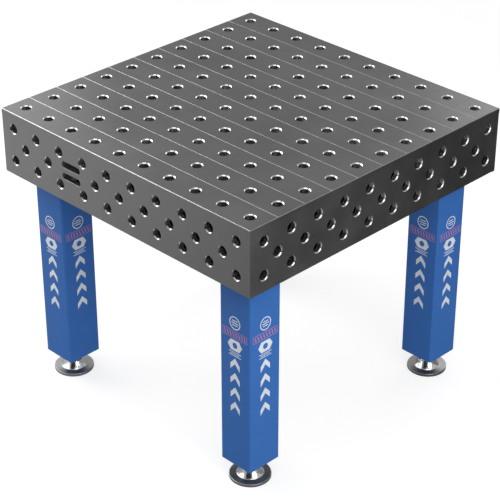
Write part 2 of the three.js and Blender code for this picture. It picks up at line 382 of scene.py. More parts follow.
def turned_steel(name, level):
    """Turned steel with fine rings round the object's own Z axis, with a polish above the pad's flange;
    painted shade darkens the flange and rim below it.
    """
    look = Look(name)
    axes = look.node("SeparateXYZ", {"Vector": look.coordinates()})
    flat = look.node("CombineXYZ", {"X": axes.outputs["X"], "Y": axes.outputs["Y"]})
    radius = look.node("VectorMath", {"Vector": flat.outputs["Vector"]}, operation="LENGTH")
    along = look.math("ADD", radius.outputs["Value"], axes.outputs["Z"])
    line = look.node("CombineXYZ", {"X": along}).outputs["Vector"]
    rings = look.node("TexNoise", {"Vector": line, "Scale": 1400, "Detail": 3}).outputs["Fac"]
    stain = look.ranged(look.noise(38, 5), 0.45, 0.75)
    polish_above_painted_shade = look.ranged(axes.outputs["Z"], PAD_FLANGE, PAD_FLANGE + 2 * MM)
    # Painted shade: the flange and rim below the boss are darkened.
    colour = look.mix(polish_above_painted_shade, grey(level * 0.36), grey(level))
    colour = look.mix(look.math("MULTIPLY", stain, 0.4), colour, grey(level * 0.6, 0.01))
    colour = look.mix(look.ranged(rings, 0.45, 0.7, 0, 0.2), colour, grey(level * 0.75))
    colour = look.mix(look.edges(1.5 * MM), colour, grey(0.9))
    rough = look.ranged(rings, 0.3, 0.7, -0.03, 0.05)
    rough = look.math("ADD", look.ranged(stain, 0, 1, 0, 0.08), rough)
    rough = look.math("ADD", rough, look.ranged(polish_above_painted_shade, 0, 1, 0.3, 0.14))
    normal = look.bump(rings, 0.02 * MM, 0.4)
    return look.set(Base_Color=colour, Metallic=1.0, Roughness=rough, Normal=normal)


def zinc_plate(name, level):
    """Bright zinc plating with faint yellow and blue bloom."""
    look = Look(name)
    bloom = look.noise(55, 3)
    spangle = look.noise(900, 2)
    colour = look.mix(look.ranged(bloom, 0.35, 0.65), grey(level, -0.03), grey(level * 0.94, 0.05))
    colour = look.mix(look.edges(1 * MM), colour, grey(min(0.9, level * 1.2)))
    rough = look.ranged(spangle, 0.3, 0.7, 0.24, 0.36)
    return look.set(
        Base_Color=colour, Metallic=1.0, Roughness=rough, Normal=look.bump(spangle, 0.02 * MM, 0.5)
    )


def vinyl(name, colour):
    """Printed vinyl marking with slight unevenness."""
    look = Look(name)
    grain = look.noise(320, 3)
    rub = look.ranged(look.noise(26, 5), 0.4, 0.75)
    base = look.mix(rub, colour, tuple(c * 0.86 for c in colour[:3]) + (1,))
    rough = look.ranged(grain, 0.3, 0.7, 0.32, 0.42)
    return look.set(Base_Color=base, Roughness=rough, Normal=look.bump(grain, 0.02 * MM, 0.4))


PLATE_LEVEL = 0.20
steel_along_x = ground_steel("steel_along_x", PLATE_LEVEL, 0)
steel_along_y = ground_steel("steel_along_y", PLATE_LEVEL, 1)
bright_cut = machined_steel("bright_cut", 0.75, 0.2)
line_cut = machined_steel("line_cut", 0.6, 0.4)
edge_cut = machined_steel("edge_cut", 0.5, 0.3)
# Painted shade: cut steel for bores, back chamfers, slots, tapped holes and cross lines, darker than
# the chamfers.
shade_painted_cut = machined_steel("shade_painted_cut", 0.28, 0.4)
rib_steel = rolled_steel("rib_steel", 0.18)
blue = powder_coat("blue_powder_coat", (0.047, 0.165, 0.50, 1), (0.16, 0.32, 0.64, 1))
pad_steel = turned_steel("pad_steel", 0.85)
zinc = zinc_plate("zinc", 0.62)
white_vinyl = vinyl("white_vinyl", (0.84, 0.90, 0.97, 1))
red_vinyl = vinyl("red_vinyl", (0.58, 0.24, 0.42, 1))


# --------------------------------------------------------------------- box top


def hole_places():
    middle = (HOLES_PER_SIDE - 1) / 2
    return [(i - middle) * HOLE_PITCH for i in range(HOLES_PER_SIDE)]


def hole_rings(shape, x, y, thickness, to_space):
    """The rings of one round hole, chamfered on both faces."""
    rings = []
    for depth, growth in (
        (0.0, HOLE_CHAMFER),
        (HOLE_CHAMFER, 0.0),
        (thickness - HOLE_BACK_CHAMFER, 0.0),
        (thickness, HOLE_BACK_CHAMFER),
    ):
        points = circle(x, y, HOLE_RADIUS + growth, HOLE_SEGMENTS)
        rings.append(shape.add_points([to_space(u, v, depth) for u, v in points]))
    return rings


def slot_rings(shape, middle, thickness, to_space):
    """The rings of one level slot with round ends, chamfered on both faces."""
    rings = []
    for depth, grow in (
        (0, 2 * SLOT_CHAMFER),
        (SLOT_CHAMFER, 0),
        (thickness - SLOT_CHAMFER, 0),
        (thickness, 2 * SLOT_CHAMFER),
    ):
        points = obround(SLOT_X, middle, SLOT_LENGTH + grow, SLOT_WIDTH + grow)
        rings.append(shape.add_points([to_space(u, v, depth) for u, v in points]))
    return rings


def cell_corner(along, across, is_outer, to_space):
    """Points from a cell's grid corner down its line and over the plate's chamfer, as (x, y, z)."""
    x, y = along, across
    if all(is_outer):
        return [to_space(x, y, EDGE_CHAMFER)]
    if not any(is_outer):
        return [to_space(x, y, LINE_DEPTH)]
    inset = EDGE_CHAMFER - LINE_DEPTH
    if is_outer[0]:
        meeting = to_space(x - math.copysign(inset, x), y, LINE_DEPTH)
    else:
        meeting = to_space(x, y - math.copysign(inset, y), LINE_DEPTH)
    return [meeting, to_space(x, y, EDGE_CHAMFER)]


def build_top_plate():
    """One cell for each hole. Scribed lines run between the cells, a chamfer round the outside.

    Long lines are bright; cross lines take the bores' painted shade.
    """
    low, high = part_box("top_plate")
    thickness = high.z - low.z
    shape = Shape()
    half = HOLE_PITCH / 2
    lines = (CROSS_LINE_HALF_WIDTH, LONG_LINE_HALF_WIDTH)

    def to_space(x, y, depth):
        return (x, y, high.z - depth)

    def is_outer(side):
        return abs(abs(side) - high.x) < half / 2

    for x in hole_places():
        for y in hole_places():
            insets = []
            for middle, line in zip((x, y), lines):
                insets.append([EDGE_CHAMFER if is_outer(middle + s * half) else line for s in (-1, 1)])
            inner_low = (x - half + insets[0][0], y - half + insets[1][0])
            inner_high = (x + half - insets[0][1], y + half - insets[1][1])
            face = shape.add_points([to_space(u, v, 0) for u, v in rectangle(inner_low, inner_high)])
            corners = rectangle((x - half, y - half), (x + half, y + half))
            outer = [(is_outer(u), is_outer(v)) for u, v in corners]
            paths = []
            for (u, v), sides in zip(corners, outer):
                paths.append(shape.add_points(cell_corner(u, v, sides, to_space)))
            back = shape.add_points([to_space(u, v, thickness) for u, v in corners])
            for i in range(4):
                j = (i + 1) % 4
                fixed = 1 - i % 2  # the axis that stays the same from corner i to corner j
                if outer[i][fixed] and outer[j][fixed]:
                    shape.add_face([face[i], face[j]] + paths[j] + paths[i][::-1], OUTER_EDGE)
                    shape.add_face((paths[i][-1], paths[j][-1], back[j], back[i]), FACE)
                else:
                    slot = BORE if i % 2 else LONG_LINE
                    shape.add_face((face[i], face[j], paths[j][0], paths[i][0]), slot)
            rings = hole_rings(shape, x, y, thickness, to_space)
            shape.loft(rings, HOLE_SLOTS)
            shape.cap([face, rings[0]])
            shape.cap([back, rings[-1]])
    mesh = make_mesh("work_plate", shape, [steel_along_x, bright_cut, shade_painted_cut, line_cut, edge_cut])
    place("work_plate", mesh, "root", "top_plate", "plate_steel")


def panel_openings(has_slots):
    """(x, depth below the work surface) of a panel's round holes; every other row is shifted."""
    openings = []
    for row, depth in enumerate(PANEL_ROW_DEPTHS):
        count = HOLES_PER_SIDE - row % 2
        for i in range(count):
            x = (i - (count - 1) / 2) * HOLE_PITCH
            if not (has_slots and row == 1 and abs(x - SLOT_X) < HOLE_RADIUS):
                openings.append((x, depth))
    return openings


def panel_outline(shape, low, high, thickness, has_corners, to_space):
    """The rings round a panel, chamfered along the bottom and along ends that are box corners."""
    end = EDGE_CHAMFER if has_corners else 0.0
    rings = []
    for depth, end_inset, low_inset in (
        (0.0, end, EDGE_CHAMFER),
        (EDGE_CHAMFER, 0.0, 0.0),
        (thickness - EDGE_CHAMFER, 0.0, 0.0),
        (thickness, 0.0, EDGE_CHAMFER),
    ):
        corners = rectangle((low[0] + end_inset, low[1] + low_inset), (high[0] - end_inset, high[1]))
        rings.append(shape.add_points([to_space(u, v, depth) for u, v in corners]))
    return rings


def build_side_panel(node, direction, has_corners, has_slots, material):
    """A panel seen from outside: u runs to the right, v up, depth inwards."""
    low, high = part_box(node)
    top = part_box("top_plate")[1].z
    angle = direction * math.pi / 2
    right = Vector((math.cos(angle), math.sin(angle), 0))
    inward = Vector((-math.sin(angle), math.cos(angle), 0))
    size = high - low
    length, thickness = max(size.x, size.y), min(size.x, size.y)
    face_distance = -min(inward.dot(low), inward.dot(high))
    shape = Shape()

    def to_space(u, v, depth):
        return right * u + inward * (depth - face_distance) + Vector((0, 0, v))

    bottom_left, top_right = (-length / 2, low.z), (length / 2, high.z)
    outline = panel_outline(shape, bottom_left, top_right, thickness, has_corners, to_space)
    shape.loft(outline, (FACE, FACE, FACE), smooth=False)
    fronts, backs = [outline[0]], [outline[-1]]
    for x, depth in panel_openings(has_slots):
        rings = hole_rings(shape, x, top - depth, thickness, to_space)
        shape.loft(rings, HOLE_SLOTS)
        fronts.append(rings[0])
        backs.append(rings[-1])
    if has_slots:
        for offset in (-SLOT_SPACING / 2, SLOT_SPACING / 2):
            rings = slot_rings(shape, top - PANEL_ROW_DEPTHS[1] + offset, thickness, to_space)
            shape.loft(rings, SLOT_SLOTS)
            fronts.append(rings[0])
            backs.append(rings[-1])
    shape.cap(fronts)
    shape.cap(backs)
    piece = node.replace("side_panel", "box_side")
    place(piece, make_mesh(piece, shape, [material, bright_cut, shade_painted_cut]), "root", node, "plate_steel")


def soften_cad_node(node, material):
    """Keeps a CAD node's shape, with a worn bevel on its sharp edges."""
    piece = frame["nodes"][node]
    piece.data.materials.clear()
    piece.data.materials.append(material)
    weld = piece.modifiers.new("Weld", "WELD")
    weld.merge_threshold = 0.01 * MM
    bevel = piece.modifiers.new("Bevel", "BEVEL")
    bevel.width = RIB_EDGE
    bevel.segments = 2
    bevel.limit_method = "ANGLE"


# ------------------------------------------------------------------------ legs


def build_drilled_plate(node, piece, holes, materials, corner=None):
    """A level plate with softened edges. holes has (x, y, radius) for each round hole.

    corner is the radius of the plate's own corners; the last material is the one of the holes.
    """
    low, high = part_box(node)
    shape = Shape()
    centre = (low + high) / 2
    rings = []
    for height, inset in (
        (low.z, PLATE_EDGE),
        (low.z + PLATE_EDGE, 0.0),
        (high.z - PLATE_EDGE, 0.0),
        (high.z, PLATE_EDGE),
    ):
        if corner:
            side = high.x - low.x - 2 * inset
            outline = rounded_square(side, corner, TUBE_CORNER_SEGMENTS)
            outline = [(centre.x + x, centre.y + y) for x, y in outline]
        else:
            outline = rectangle((low.x + inset, low.y + inset), (high.x - inset, high.y - inset))
        rings.append(shape.add_points([(x, y, height) for x, y in outline]))
    shape.loft(rings, (0, 0, 0))
    bottoms, tops = [rings[0]], [rings[-1]]
    for x, y, radius in holes:
        points = circle(x, y, radius, SMALL_HOLE_SEGMENTS)
        bottom = shape.add_points([(u, v, low.z) for u, v in points])
        top = shape.add_points([(u, v, high.z) for u, v in points])
        shape.strip(bottom, top, len(materials) - 1)
        bottoms.append(bottom)
        tops.append(top)
    shape.cap(bottoms)
    shape.cap(tops)
    return make_mesh(piece, shape, materials)


def build_tube(node, piece):
    """A square tube with round corners, hollow from end to end."""
    low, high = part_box(node)
    side = high.x - low.x
    centre = (low + high) / 2
    shape = Shape()
    rings = []
    ends = (
        (low.z + TUBE_END_ROUND, 0.0),
        (high.z - TUBE_END_ROUND, 0.0),
        (high.z, TUBE_END_ROUND),
        (high.z, TUBE_WALL - TUBE_END_ROUND),
        (high.z - TUBE_END_ROUND, TUBE_WALL),
        (low.z + TUBE_END_ROUND, TUBE_WALL),
        (low.z, TUBE_WALL - TUBE_END_ROUND),
        (low.z, TUBE_END_ROUND),
    )
    for height, inset in ends:
        points = rounded_square(side - 2 * inset, TUBE_RADIUS - inset, TUBE_CORNER_SEGMENTS)
        rings.append(shape.add_points([(centre.x + x, centre.y + y, height) for x, y in points]))
    shape.loft(rings + [rings[0]], (0,) * len(ends))
    return make_mesh(piece, shape, [blue])


# ------------------------------------------------------------------- leg marks

MARK_THICKNESS = 0.25 * MM
WHITE, RED = 0, 1
RING_SEGMENTS = 48

# Places and sizes of the marks, in mm across a leg's face and down from its top
RING_MIDDLE = 150
RING_RADII = (20.5, 17.5)
RING_BARS = ((143, 20), (150, 27), (157, 20))  # middle, width
RING_BAR_HEIGHT = 2.6
BAND_MIDDLE = (-1, 186.5)
BAND_FRAME = ((92, 23), (88.6, 20))  # width, height
BAND_SLANT = 2
HATCH_COUNT = 8
HATCH_START = -39.4
HATCH_PITCH = 10.6
HATCH_SIZE = (4, 14)
HATCH_SLANT = 4
NUT_MIDDLE = 221
NUT_REACH = (27, 16)  # half width at the corners, at the flats
NUT_HEIGHT = 34
NUT_BORE = 9
LINES = ((243.5, 46), (249, 34), (254.5, 46))  # middle, width
LINE_HEIGHT = 2
ARROW_COUNT = 4
ARROW_START = 262
ARROW_PITCH = 47
ARROW_HALF_WIDTH = 17.5
ARROW_THICKNESS = 18
ARROW_DROP = 20


def raise_mark(shape, loops, to_space, slot):
    """A thin raised mark. The first loop is its outline, the others are holes, in mm."""
    fronts, backs = [], []
    for loop in loops:
        for height, ends in ((MARK_THICKNESS, fronts), (0, backs)):
            ends.append(shape.add_points([to_space(u * MM, v * MM, height) for u, v in loop]))
        shape.strip(fronts[-1], backs[-1], slot, smooth=False)
    shape.cap(fronts, slot)
    shape.cap(backs, slot)


def bar(u, v, width, height, slant=0.0):
    """A bar round (u, v), its lower edge shifted sideways by slant."""
    top, bottom = v - height / 2, v + height / 2
    left, right = u - width / 2, u + width / 2
    return [(left, top), (right, top), (right + slant, bottom), (left + slant, bottom)]


def nut_outline():
    corner, flat = NUT_REACH
    top, bottom = NUT_MIDDLE - NUT_HEIGHT / 2, NUT_MIDDLE + NUT_HEIGHT / 2
    return [
        (-flat, top),
        (flat, top),
        (corner, NUT_MIDDLE),
        (flat, bottom),
        (-flat, bottom),
        (-corner, NUT_MIDDLE),
    ]


def arrow_outline(tip):
    """An arrowhead that points up, its tip at the given height."""
    shoulder = tip + ARROW_DROP
    return [
        (0, tip),
        (ARROW_HALF_WIDTH, shoulder),
        (ARROW_HALF_WIDTH, shoulder + ARROW_THICKNESS),
        (0, tip + ARROW_THICKNESS),
        (-ARROW_HALF_WIDTH, shoulder + ARROW_THICKNESS),
        (-ARROW_HALF_WIDTH, shoulder),
    ]


def mark_loops():
    """The marks of one leg face, as (material slot, loops): ring, band, nut, lines, arrows."""
    marks = [(WHITE, [circle(0, RING_MIDDLE, radius, RING_SEGMENTS) for radius in RING_RADII])]
    for middle, width in RING_BARS:
        marks.append((WHITE, [bar(0, middle, width, RING_BAR_HEIGHT)]))
    marks.append((RED, [bar(*BAND_MIDDLE, *size, BAND_SLANT) for size in BAND_FRAME]))
    for i in range(HATCH_COUNT):
        u = HATCH_START + HATCH_PITCH * i
        marks.append((RED, [bar(u, BAND_MIDDLE[1], *HATCH_SIZE, HATCH_SLANT)]))
    marks.append((WHITE, [nut_outline(), circle(0, NUT_MIDDLE, NUT_BORE, RING_SEGMENTS)]))
    for middle, width in LINES:
        marks.append((WHITE, [bar(0, middle, width, LINE_HEIGHT)]))
    for i in range(ARROW_COUNT):
        marks.append((WHITE, [arrow_outline(ARROW_START + ARROW_PITCH * i)]))
    return marks


def build_leg_marks(label):
    """The same marks on all four faces of a leg."""
    low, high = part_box(f"leg_tube_{label}")
    centre = (low + high) / 2
    reach = (high.x - low.x) / 2
    shape = Shape()
    for quarter in range(4):
        angle = quarter * math.pi / 2
        right = Vector((math.cos(angle), math.sin(angle), 0))
        outward = Vector((math.sin(angle), -math.cos(angle), 0))
        corner = Vector((centre.x, centre.y, high.z)) + outward * reach

        def to_space(u, v, height):
            return corner + right * u + outward * height - Vector((0, 0, v))

        for slot, loops in mark_loops():
            raise_mark(shape, loops, to_space, slot)
    mesh = make_mesh(f"leg_marks_{label}", shape, [white_vinyl, red_vinyl])
    place(f"leg_marks_{label}", mesh, "root")


# -------------------------------------------------------------- turned pieces


def round_ring(shape, radius, height, segments):
    return shape.add_points([(x, y, height) for x, y in circle(0, 0, radius, segments)])


def turned(profile, segments):
    """Turns a closed outline of (radius, height) points round Z."""
    shape = Shape()
    rings = [round_ring(shape, radius, height, segments) for radius, height in profile]
    shape.loft(rings + [rings[0]], (0,) * len(rings))
    return shape


def rounded(corners, steps=3):
    """Rounds those corners of an outline that carry a reach as their third value."""
    points = []
    for i, corner in enumerate(corners):
        if len(corner) == 2:
            points.append(corner)
            continue
        here = Vector(corner[:2])
        before = (Vector(corners[i - 1][:2]) - here).normalized() * corner[2]
        after = (Vector(corners[i + 1][:2]) - here).normalized() * corner[2]
        for k in range(steps + 1):
            t = k / steps
            points.append(tuple(here + before * (1 - t) ** 2 + after * t**2))
    return points


PAD_SEGMENTS = 96
SHAFT_SEGMENTS = 48

# The washer's ball-shaped underside, in mm
SWIVEL_CENTRE = 44.0
SWIVEL_RADIUS = 25.5
SWIVEL_INNER = 9.5
SWIVEL_OUTER = 21.6
SWIVEL_STEPS = 14


def in_metres(outline):
    return [(radius * MM, height * MM) for radius, height in outline]


def pad_profile():
    """Outline of the foot pad: underside, flat flange, boss with hollow sides, seat, cavity."""
    outline = [
        (20, 0.8),
        (20.8, 0),
        (30, 0),
        (58.8, 0),
        (60, 1.2),
        (60, 8, 1.2),
        (59.6, 9.6, 0.9),
        (58, 10, 0.9),
        (41, 10),
        (38.6, 10.2, 1),
        (37, 12, 2),
        (31.6, 22, 6),
        (28.4, 31.6, 0.8),
        (27.8, 33, 0.6),
        (26.4, 33, 0.4),
        (25.4, 32.6, 0.4),
        (13, 20.2),
        (13, 14.6),
        (13.6, 14),
        (20, 14),
    ]
    return in_metres(rounded(outline))


def washer_profile():
    """Outline of the swivel washer: ball-shaped underside, flat top, bore."""
    first = math.asin(SWIVEL_INNER / SWIVEL_RADIUS)
    last = math.asin(SWIVEL_OUTER / SWIVEL_RADIUS)
    under = []
    for i in range(SWIVEL_STEPS + 1):
        angle = first + (last - first) * i / SWIVEL_STEPS
        height = SWIVEL_CENTRE - SWIVEL_RADIUS * math.cos(angle)
        under.append((SWIVEL_RADIUS * math.sin(angle), height))
    bore_start = (9, under[0][1] + 0.5)
    return in_metres([bore_start] + under + [(22, 31.6), (22, 36.2), (21.2, 37), (9.6, 37), (9, 36.4)])


def ring_profile():
    """Outline of the retaining ring: a flat washer with chamfered edges."""
    inside = [(7.4, 12), (7.1, 11.7), (7.1, 10.7), (7.4, 10.4)]
    outside = [(15.7, 10.4), (16, 10.7), (16, 11.7), (15.7, 12)]
    return in_metres(inside + outside)


# Spindle: heights above the floor
THREAD_PITCH = 3 * MM
THREAD_RADIUS = 12 * MM
THREAD_CORE = 10.4 * MM
THREAD_START = 51 * MM
THREAD_END = 158 * MM
THREAD_ROWS_PER_TURN = 6
THREAD_ROOT_SHARE = 0.12
THREAD_FLANK_SHARE = 0.7
THREAD_SMOOTH_ANGLE = 50
SPINDLE_TOP = 160 * MM
SHOULDER = 37.1 * MM
HEX_TOP = 49.1 * MM
HEX_FLATS = 36 * MM
PIN_RADIUS = 8 * MM
PIN_END = 7 * MM
PIN_CHAMFER = 0.8 * MM
GROOVE_RADIUS = 7 * MM
GROOVE_BOTTOM = 10.2 * MM
GROOVE_TOP = 12.2 * MM
GROOVE_CHAMFER = 0.2 * MM
TIP_CHAMFER = 1 * MM
HEX_END_SHARE = 0.98
HEX_CONE_STEPS = 5


def thread_radius(phase):
    """Radius of the thread's flank: phase runs from 0 to 1 over one pitch."""
    rise = (abs(2 * (phase % 1.0) - 1) - THREAD_ROOT_SHARE) / THREAD_FLANK_SHARE
    return THREAD_CORE + (THREAD_RADIUS - THREAD_CORE) * min(1.0, max(0.0, rise))


def hexagon_rings(shape, flats, bottom, top):
    """Rings of a hexagon whose corners are turned down to a cone at both ends."""
    inner = flats / 2
    reach = inner / math.cos(math.pi / 6)
    narrow = inner * HEX_END_SHARE
    drop = (reach - narrow) * math.tan(math.radians(30))
    shares = [i / HEX_CONE_STEPS for i in range(HEX_CONE_STEPS + 1)]
    cone = [(drop * share, narrow + (reach - narrow) * share) for share in shares]
    limits = [(bottom + rise, limit) for rise, limit in cone]
    limits += [(top - rise, limit) for rise, limit in reversed(cone)]
    rings = []
    for height, limit in limits:
        points = []
        for i in range(SHAFT_SEGMENTS):
            angle = 2 * math.pi * i / SHAFT_SEGMENTS
            radius = min(inner / math.cos(angle % (math.pi / 3) - math.pi / 6), limit)
            points.append((radius * math.cos(angle), radius * math.sin(angle), height))
        rings.append(shape.add_points(points))
    return rings


def thread_rings(shape):
    """Rings whose radius follows the thread's helix, faded out at both ends."""
    rings = []
    length = THREAD_END - THREAD_START
    rows = round(length / THREAD_PITCH * THREAD_ROWS_PER_TURN)
    for row in range(rows + 1):
        height = THREAD_START + length * row / rows
        fade = min(1.0, row / THREAD_ROWS_PER_TURN, (rows - row) / THREAD_ROWS_PER_TURN)
        points = []
        for i in range(SHAFT_SEGMENTS):
            angle = 2 * math.pi * i / SHAFT_SEGMENTS
            phase = height / THREAD_PITCH - i / SHAFT_SEGMENTS
            radius = THREAD_CORE + (thread_radius(phase) - THREAD_CORE) * fade
            points.append((radius * math.cos(angle), radius * math.sin(angle), height))
        rings.append(shape.add_points(points))
    return rings


def stacked(shape, rings):
    """Joins rings one above the other and closes both ends."""
    shape.loft(rings, (0,) * (len(rings) - 1))
    shape.add_face(rings[0])
    shape.add_face(rings[-1])
    return shape


def spindle_shape():
    """A pin with the groove for its retaining ring, a hexagon and a thread."""
    shape = Shape()
    pin = [
        (PIN_RADIUS - PIN_CHAMFER, PIN_END),
        (PIN_RADIUS, PIN_END + PIN_CHAMFER),
        (PIN_RADIUS, GROOVE_BOTTOM),
        (GROOVE_RADIUS, GROOVE_BOTTOM + GROOVE_CHAMFER),
        (GROOVE_RADIUS, GROOVE_TOP - GROOVE_CHAMFER),
        (PIN_RADIUS, GROOVE_TOP),
        (PIN_RADIUS, SHOULDER),
    ]
    rings = [round_ring(shape, radius, height, SHAFT_SEGMENTS) for radius, height in pin]
    rings += hexagon_rings(shape, HEX_FLATS, SHOULDER, HEX_TOP)
    rings.append(round_ring(shape, THREAD_CORE, HEX_TOP, SHAFT_SEGMENTS))
    rings += thread_rings(shape)
    rings.append(round_ring(shape, THREAD_CORE - TIP_CHAMFER, SPINDLE_TOP, SHAFT_SEGMENTS))
    return stacked(shape, rings)


def bolt_shape():
    """A flange bolt that points up, its seating face at height zero."""
    shape = Shape()
    shank = [
        (11.6, -2.2),
        (12.9, -1.2),
        (12.9, -0.3),
        (12.6, 0),
        (6.2, 0),
        (5.9, 0.6),
        (5.9, 23),
        (5, 24),
    ]
    rings = hexagon_rings(shape, BOLT_FLATS, BOLT_HEX_BOTTOM, BOLT_HEX_TOP)
    rings += [round_ring(shape, radius, height, SHAFT_SEGMENTS) for radius, height in in_metres(shank)]
    return stacked(shape, rings)


# ------------------------------------------------------------------ assembling


def build_box():
    build_top_plate()
    for direction, side in enumerate(("front", "right", "back", "left")):
        has_corners = direction % 2 == 0
        material = steel_along_x if has_corners else steel_along_y
        build_side_panel(f"side_panel_{side}", direction, has_corners, side == "front", material)
    for node in ("rib_long_front", "rib_long_back", "rib_cross_right", "rib_cross_left"):
        soften_cad_node(node, rib_steel)


def bolt_places(x, y):
    offsets = (-BOLT_OFFSET, BOLT_OFFSET)
    return [(x + dx, y + dy) for dy in offsets for dx in offsets]


def build_leg(label, bolt_mesh, foot_meshes):
    """One leg with its bolts and foot. foot_meshes has (mesh, body, slot) for each kind of piece."""
    low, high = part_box(f"leg_tube_{label}")
    x, y = (low.x + high.x) / 2, (low.y + high.y) / 2
    taps = [(u, v, BOLT_TAP_RADIUS) for u, v in bolt_places(x, y)]
    holes = [(u, v, BOLT_HOLE_RADIUS) for u, v in bolt_places(x, y)]

    node = f"leg_mount_{label}"
    mesh = build_drilled_plate(node, f"corner_bracket_{label}", taps, [rib_steel, shade_painted_cut])
    place(f"corner_bracket_{label}", mesh, "root", node, "rib_steel")
    node = f"leg_flange_{label}"
    mesh = build_drilled_plate(node, f"leg_head_{label}", holes, [blue])
    place(f"leg_head_{label}", mesh, "root", node, "leg_paint")
    node = f"leg_base_{label}"
    hole = [(x, y, SPINDLE_HOLE_RADIUS)]
    corner = TUBE_RADIUS - TUBE_WALL
    mesh = build_drilled_plate(node, f"leg_end_{label}", hole, [blue, shade_painted_cut], corner)
    place(f"leg_end_{label}", mesh, "root", node, "leg_paint")
    node = f"leg_tube_{label}"
    place(f"leg_{label}", build_tube(node, f"leg_{label}"), "root", node, "leg_paint")
    build_leg_marks(label)

    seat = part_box(f"leg_flange_{label}")[0].z
    for i, (u, v) in enumerate(bolt_places(x, y)):
        node = f"flange_bolt_{label}_{i + 1}"
        turn = BOLT_TURN * i
        place(f"bolt_{label}_{i + 1}", bolt_mesh, "root", node, "bolt_zinc", (u, v, seat), turn)

    for kind, (mesh, body, slot) in foot_meshes.items():
        node = f"foot_{kind}_{label}"
        place(f"level_{kind}_{label}", mesh, f"foot_{label}_{body}", node, slot, (x, y, 0))


def build_legs():
    """The legs share one mesh for all bolts and one for each kind of foot piece."""
    bolt_mesh = make_mesh("flange_bolt", bolt_shape(), [zinc])
    pad = make_mesh("foot_pad", turned(pad_profile(), PAD_SEGMENTS), [pad_steel])
    washer = make_mesh("foot_washer", turned(washer_profile(), PAD_SEGMENTS), [pad_steel])
    ring = make_mesh("foot_ring", turned(ring_profile(), SHAFT_SEGMENTS), [zinc])
    spindle = make_mesh("foot_spindle", spindle_shape(), [zinc], THREAD_SMOOTH_ANGLE)
    foot_meshes = {
        "pad": (pad, "pad", "foot_steel"),
        "washer": (washer, "level", "foot_steel"),
        "ring": (ring, "spindle", "bolt_zinc"),
        "spindle": (spindle, "spindle", "spindle_zinc"),
    }
    for label in LEGS:
        build_leg(label, bolt_mesh, foot_meshes)


build_box()
build_legs()


# ------------------------------------------------------------------------ stage

FLOOR_SIZE = 40.0
FLOOR_GREYS = (0.4, 0.45)
FLOOR_GLOW = 0.68
FLOOR_FADE = (1.2, 3.5)  # distances from the middle between which the floor turns white

# The floor as reflections see it, painted with shade and light: distances to the camera's right or
# towards it, and grey levels
RIGHT_FADE = (2.0, -1.2)
RIGHT_GREY = 0.08
MIDDLE_GREY = 0.55
LEFT_FADE = (-1.7, -3.0)
NEAR_FADE = (1.3, 1.9)
NEAR_RIGHT_FADE = (-0.2, 0.6)
NEAR_GREYS = (0.06, 0.72)

CAMERA_AZIMUTH = math.radians(45.07)
CAMERA_ELEVATION = math.radians(30.06)
CAMERA_DISTANCE = 5.0967
CAMERA_TARGET = Vector((0, 0, 0.4355))
CAMERA_LENS = 123.65
CAMERA_SENSOR = 36.0
CAMERA_SHIFT = (-0.0009, -0.0118)
CAMERA_REACH = 100

# Cards that keep the bores dark with painted shade, and the middle of each foot dark in reflections
DARK_CARD_DROP = 4 * MM
DARK_CARD_GAP = 2 * MM
DARK_CARD_GREY = 0.02
CAMERA_CARD_PLACE = (3.7, -5.6, 1.8)
CAMERA_CARD_SIZE = (6.0, 4.2)
CAMERA_CARD_GREY = 0.01

# Lights. Softboxes are name, position, what it faces, width and height, brightness.
STUDIO_LEVEL = 0.5
SOFTBOXES = (
    ("overhead", (0.7, -1.3, 3.4), (0, 0, 0.88), (2.4, 2.0), 1.2),
    ("left", (-2.6, -1.1, 2.5), (0, 0, 0.8), (2.4, 2.2), 3.0),
    ("right", (2.45, -0.85, 2.2), (0, 0, 0.7), (2.4, 1.8), 1.6),
    ("low_right", (3.4, -0.6, 0.5), (0.4, 0, 0.25), (1.8, 1.0), 4.0),
    ("left_card", (-2.3, 0.2, 1.7), (-0.5, -0.5, 0.88), (1.6, 1.2), 1.2),
    ("back_card", (-0.2, 2.4, 1.7), (0.5, 0.5, 0.88), (1.4, 1.2), 1.8),
)
FOOT_STRIP = ("foot_strip", (-2.0, -2.2, 1.0), (0, 0, 0.3), (4.4, 2.4), 1.3)


def stage_plane(name, size, location=(0, 0, 0)):
    """A square plane that is no part of the table."""
    bpy.ops.mesh.primitive_plane_add(size=size, location=location)
    plane = bpy.context.object
    plane.name = name
    return plane


def studio_shader(look, seen, unseen):
    """Shows the shader seen to the camera and lets the shader unseen light the object."""
    camera_ray = look.node("LightPath").outputs["Is Camera Ray"]
    mixed = look.node("MixShader", {"Fac": camera_ray})
    look.feed(mixed.inputs[1], unseen)
    look.feed(mixed.inputs[2], seen)
    look.feed(look.tree.nodes["Material Output"].inputs["Surface"], mixed.outputs["Shader"])
    return look.material


def keep_under_feet(floor):
    """The floor stays under the lowest foot when the feet are screwed in or out."""
    driver = floor.driver_add("location", 2).driver
    driver.type = "MIN"
    for label in LEGS:
        variable = driver.variables.new()
        variable.name = label
        variable.type = "TRANSFORMS"
        target = variable.targets[0]
        target.id = frame["bodies"][f"foot_{label}_level"]
        target.transform_type = "LOC_Z"
        target.transform_space = "WORLD_SPACE"


def seen_floor(look):
    """Pale with faint shadows round the table, plain white farther out."""
    speckle = look.ranged(look.noise(6, 4), 0.3, 0.7, 0.97, 1.0)
    colour = look.mix(speckle, *(grey(level) for level in FLOOR_GREYS))
    near_floor = look.node("AddShader")
    look.feed(near_floor.inputs[0], look.node("BsdfDiffuse", {"Color": colour}).outputs["BSDF"])
    glow = look.node("Emission", {"Color": grey(FLOOR_GLOW)})
    look.feed(near_floor.inputs[1], glow.outputs["Emission"])
    distance = look.node("VectorMath", {"Vector": look.coordinates()}, operation="LENGTH")
    seen = look.node("MixShader", {"Fac": look.ranged(distance.outputs["Value"], *FLOOR_FADE)})
    look.feed(seen.inputs[1], near_floor.outputs["Shader"])
    look.feed(seen.inputs[2], look.node("Emission", {"Color": grey(1.0)}).outputs["Emission"])
    return seen.outputs["Shader"]


